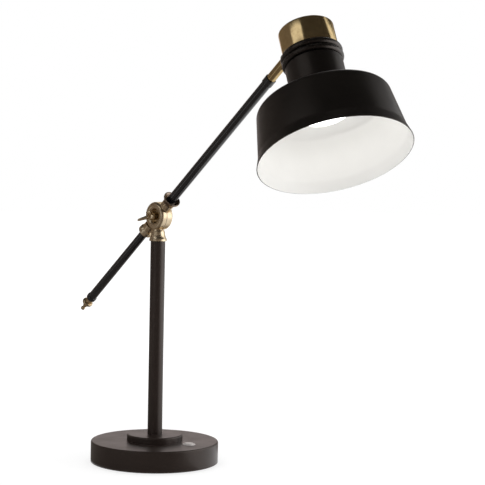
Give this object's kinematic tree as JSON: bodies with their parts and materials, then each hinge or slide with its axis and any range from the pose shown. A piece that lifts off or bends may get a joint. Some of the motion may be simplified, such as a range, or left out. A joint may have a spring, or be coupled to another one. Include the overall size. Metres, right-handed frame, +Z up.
{
  "type": "swing arm desk lamp",
  "caption": "Desk lamp with a round weighted base, a post, a wing-screw knuckle, a counter-rod arm and a tilting bell shade with a capped neck.",
  "frame": {"origin": "centre of the foam pad's lower face, on the post's axis", "axes": "+Z up along the post; the arm lies in the XZ plane and rises towards +X at rest; the knuckle turns about Y"},
  "size_m": [0.5903, 0.1931, 0.5567],
  "materials": {
    "base_black": "satin dark bronze-black powder coat",
    "iron": "rough casting",
    "steel": "zinc plated",
    "foam": "closed-cell foam",
    "rubber": "moulded",
    "plastic_black": "moulded",
    "nylon": "moulded natural",
    "button_silver": "satin",
    "brass": "antiqued, lacquered",
    "arm_black": "gloss black",
    "shade_black": "matte black outside, white inside",
    "opal": "opal",
    "bulb_white": "satin",
    "bulb_cap": "plated"
  },
  "bodies": {
    "base": {"base_shell": "base_black", "base_weight": "iron", "base_plate": "steel", "plate_screws": "steel", "foot_pad": "foam", "cord_gland": "rubber", "terminal_block": "plastic_black", "button_bezel": "plastic_black", "switch_nut": "steel", "switch_body": "plastic_black", "base_step": "base_black", "post_washer": "steel", "post_nut": "steel", "post_nipple": "steel", "post_tube": "base_black", "post_plug": "steel", "swivel_bush": "nylon"},
    "button": {"push_button": "button_silver"},
    "turret": {"post_knuckle": "brass", "retaining_ring": "steel", "friction_washer": "nylon"},
    "arm": {"arm_knuckle": "brass", "pivot_nut": "brass", "upper_cup": "brass", "upper_arm": "arm_black", "arm_sleeve": "arm_black", "lower_cup": "brass", "lower_rod": "arm_black", "end_ring": "arm_black", "finial": "brass"},
    "wing": {"wing_screw": "brass"},
    "ferrule": {"ferrule": "brass", "hinge_screw": "brass", "hinge_nut": "steel"},
    "head": {"shade": "shade_black", "neck_collar": "shade_black", "shade_screws": "steel", "cap": "brass", "holder_strap": "steel", "lampholder": "plastic_black", "holder_nipple": "steel", "holder_nut": "steel", "bulb_face": "opal", "bulb_body": "bulb_white", "bulb_base": "bulb_cap"}
  },
  "joints": [
    {"name": "post_swivel", "type": "hinge", "parent": "base", "child": "turret", "pos_m": [0, 0, 0.287], "axis": [0, 0, 1], "range_deg": [-150, 150]},
    {"name": "arm_tilt", "type": "hinge", "parent": "turret", "child": "arm", "pos_m": [0, 0, 0.3192], "axis": [0, 1, 0], "range_deg": [-4, 50]},
    {"name": "wing_turn", "type": "hinge", "parent": "turret", "child": "wing", "pos_m": [0, 0, 0.3192], "axis": [0, -1, 0], "range_deg": [0, 360]},
    {"name": "head_roll", "type": "hinge", "parent": "arm", "child": "ferrule", "pos_m": [0.2073, 0, 0.48588], "axis": [0.7793, 0, 0.6266], "range_deg": [-51.6, 68.4]},
    {"name": "shade_tilt", "type": "hinge", "parent": "ferrule", "child": "head", "pos_m": [0.23778, 0, 0.51038], "axis": [0.0915, 0.9893, -0.1138], "range_deg": [-60, 45]},
    {"name": "button_press", "type": "slide", "parent": "base", "child": "button", "axis": [0, 0, -1], "range_m": [0, 0.0015], "stiffness_N_per_m": 700, "springref_m": -0.001}
  ]
}
